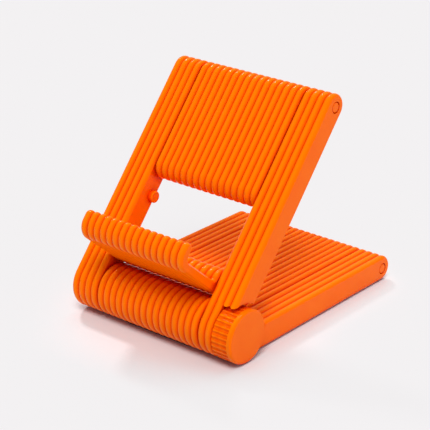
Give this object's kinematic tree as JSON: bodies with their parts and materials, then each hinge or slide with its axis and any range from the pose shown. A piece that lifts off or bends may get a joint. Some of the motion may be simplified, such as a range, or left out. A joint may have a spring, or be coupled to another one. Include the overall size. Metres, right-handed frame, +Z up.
{
  "type": "foldable phone stand",
  "caption": "Folding desk stand for a phone: ribbed base and leaning back on a clamped knob hinge, a J-shaped ledge that folds away, swing-out back and base panels.",
  "frame": {"origin": "on the table, at the flat underside of the front foot, under the middle of the hinge", "axes": "+X along the hinge to the knob side, +Y to the rear, +Z up"},
  "size_m": [0.0791, 0.1186, 0.0904],
  "materials": {
    "orange_plastic": "satin moulded ABS",
    "steel": "zinc plated",
    "brass": "turned",
    "nylon": "natural nylon",
    "rubber": "matte"
  },
  "bodies": {
    "base": {"base_frame": "orange_plastic", "rear_pin": "orange_plastic", "front_foot": "rubber", "rear_feet": "rubber"},
    "base_leaf": {"base_panel": "orange_plastic"},
    "back": {"left_arm": "orange_plastic", "right_arm": "orange_plastic", "top_pin": "orange_plastic", "ledge_pin": "steel", "hinge_bolt": "steel", "bolt_cover": "orange_plastic", "friction_washer_left": "nylon", "friction_washer_right": "nylon", "flat_washer": "steel", "disc_spring": "steel"},
    "back_leaf": {"back_panel": "orange_plastic"},
    "ledge": {"phone_ledge": "orange_plastic"},
    "knob": {"clamp_knob": "orange_plastic", "knob_insert": "brass"}
  },
  "joints": [
    {"name": "back_tilt", "type": "hinge", "parent": "base", "child": "back", "pos_m": [0, 0, 0.01095], "axis": [1, 0, 0], "range_deg": [-50.4, 70]},
    {"name": "ledge_fold", "type": "hinge", "parent": "back", "child": "ledge", "pos_m": [0, 0.00544, 0.02592], "axis": [-1, 0, 0], "range_deg": [0, 90]},
    {"name": "back_panel_swing", "type": "hinge", "parent": "back", "child": "back_leaf", "pos_m": [0, 0.05452, 0.08525], "axis": [-1, 0, 0], "range_deg": [0, 180]},
    {"name": "base_panel_swing", "type": "hinge", "parent": "base", "child": "base_leaf", "pos_m": [0, 0.0945, 0.0056], "axis": [-1, 0, 0], "range_deg": [0, 180]},
    {"name": "knob_turn", "type": "hinge", "parent": "back", "child": "knob", "pos_m": [0.038, 0, 0.01095], "axis": [1, 0, 0], "range_deg": [0, 180]}
  ]
}
